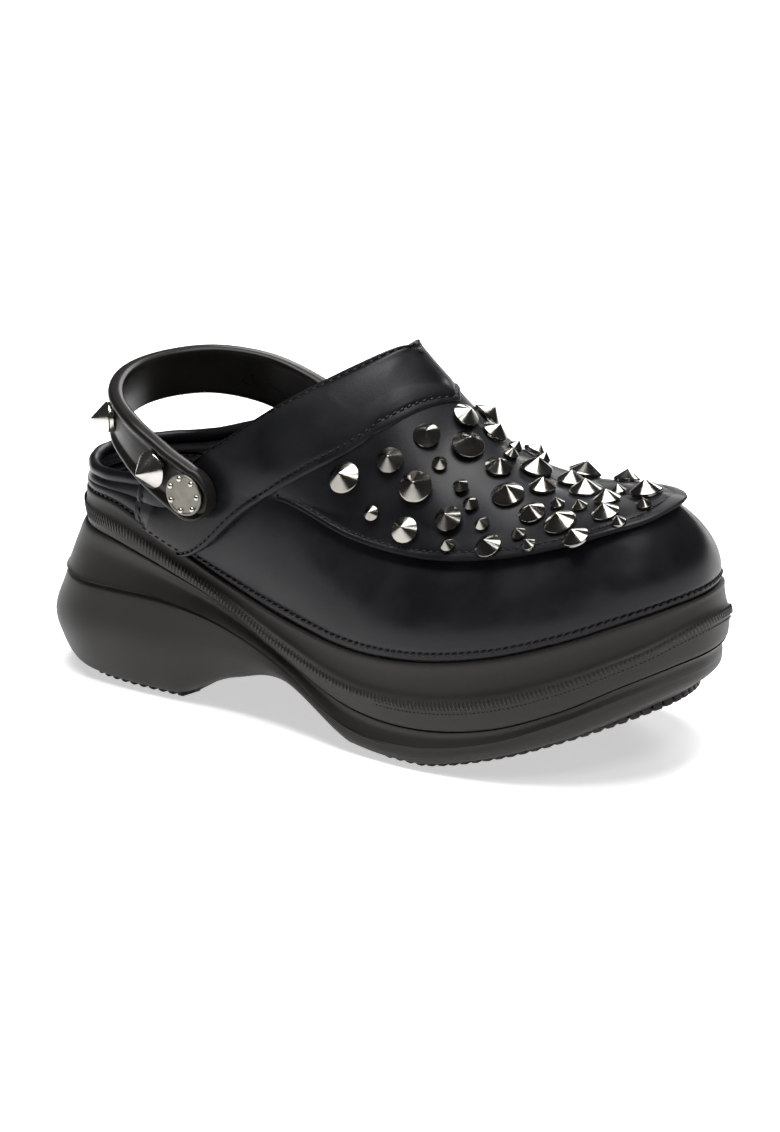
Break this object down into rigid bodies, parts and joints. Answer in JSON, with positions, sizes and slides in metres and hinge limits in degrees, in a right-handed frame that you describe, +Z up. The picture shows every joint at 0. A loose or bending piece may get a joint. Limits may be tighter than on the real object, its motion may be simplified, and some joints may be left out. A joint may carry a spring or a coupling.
{
  "type": "studded clog",
  "caption": "Right foot platform clog with a hollow closed toe, open heel, swivelling heel strap on two rivets and cone studs over the vamp.",
  "frame": {"origin": "on the floor, in the middle of the whole clog's footprint box", "axes": "+X from heel to toe, +Y to the inner side of the foot, +Z up"},
  "size_m": [0.2874, 0.1092, 0.1418],
  "materials": {
    "leather": "smooth, satin",
    "foam": "moulded foam, matte",
    "tread": "matte",
    "strap": "moulded foam, satin",
    "lining": "matte",
    "gunmetal": "turned, dark nickel",
    "nickel": "satin"
  },
  "bodies": {
    "root": {"midsole": "foam", "insole": "lining", "heel_tread": "tread", "fore_tread": "tread", "upper": "leather", "collar_band": "leather", "apron": "leather", "collar_roll": "leather", "stud_1": "gunmetal", "stud_2": "gunmetal", "stud_3": "gunmetal", "stud_4": "gunmetal", "stud_5": "gunmetal", "stud_6": "gunmetal", "stud_7": "gunmetal", "stud_8": "gunmetal", "stud_9": "gunmetal", "stud_10": "gunmetal", "stud_11": "gunmetal", "stud_12": "gunmetal", "stud_13": "gunmetal", "stud_14": "gunmetal", "stud_15": "gunmetal", "stud_16": "gunmetal", "stud_17": "gunmetal", "stud_18": "gunmetal", "stud_19": "gunmetal", "stud_20": "gunmetal", "stud_21": "gunmetal", "stud_22": "gunmetal", "stud_23": "gunmetal", "stud_24": "gunmetal", "stud_25": "gunmetal", "stud_26": "gunmetal", "stud_27": "gunmetal", "stud_28": "gunmetal", "stud_29": "gunmetal", "stud_30": "gunmetal", "stud_31": "gunmetal", "stud_32": "gunmetal", "stud_33": "gunmetal", "stud_34": "gunmetal", "stud_35": "gunmetal", "stud_36": "gunmetal", "stud_37": "gunmetal", "stud_38": "gunmetal", "stud_39": "gunmetal", "stud_40": "gunmetal", "stud_41": "gunmetal", "stud_42": "gunmetal", "stud_43": "gunmetal", "stud_44": "gunmetal", "stud_45": "gunmetal", "heel_strap": "strap", "rivet_lateral": "nickel", "rivet_medial": "nickel", "strap_spike_1": "gunmetal", "strap_spike_2": "gunmetal", "strap_spike_3": "gunmetal", "strap_spike_4": "gunmetal"}
  },
  "joints": []
}
